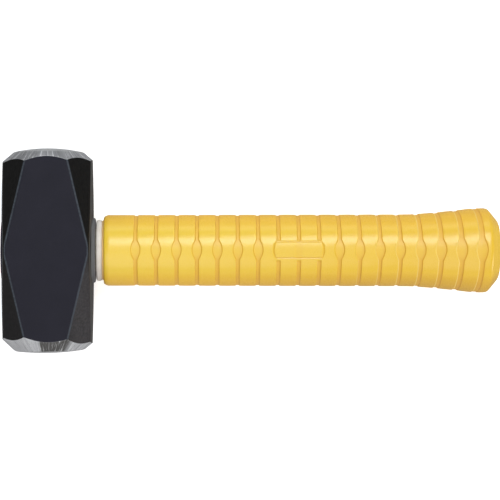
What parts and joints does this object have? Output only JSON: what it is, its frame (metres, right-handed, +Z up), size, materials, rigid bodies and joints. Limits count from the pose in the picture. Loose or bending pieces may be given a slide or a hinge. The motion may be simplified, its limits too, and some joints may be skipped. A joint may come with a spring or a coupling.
{
  "type": "club hammer",
  "caption": "Short double-faced forged sledge head bonded to a straight fibreglass handle with a ribbed moulded grip that flares at the butt.",
  "frame": {"origin": "centre of the head's lower cheek, straight under the point where the handle axis crosses the striking axis, with the hammer lying on its side", "axes": "+X along the handle from the head to the butt, +Y along the striking axis, +Z up through the cheeks"},
  "size_m": [0.2685, 0.1093, 0.0432],
  "materials": {
    "head_paint": "satin",
    "fibreglass": "satin",
    "resin": "gloss",
    "white_plastic": "satin",
    "jacket_plastic": "matte",
    "grip_rubber": "satin"
  },
  "bodies": {
    "root": {"head": "head_paint", "fibreglass_rod": "fibreglass", "eye_sleeve": "white_plastic", "resin_bond": "resin", "seal_ring": "white_plastic", "handle_jacket": "jacket_plastic", "end_plug": "jacket_plastic", "grip": "grip_rubber"}
  },
  "joints": []
}
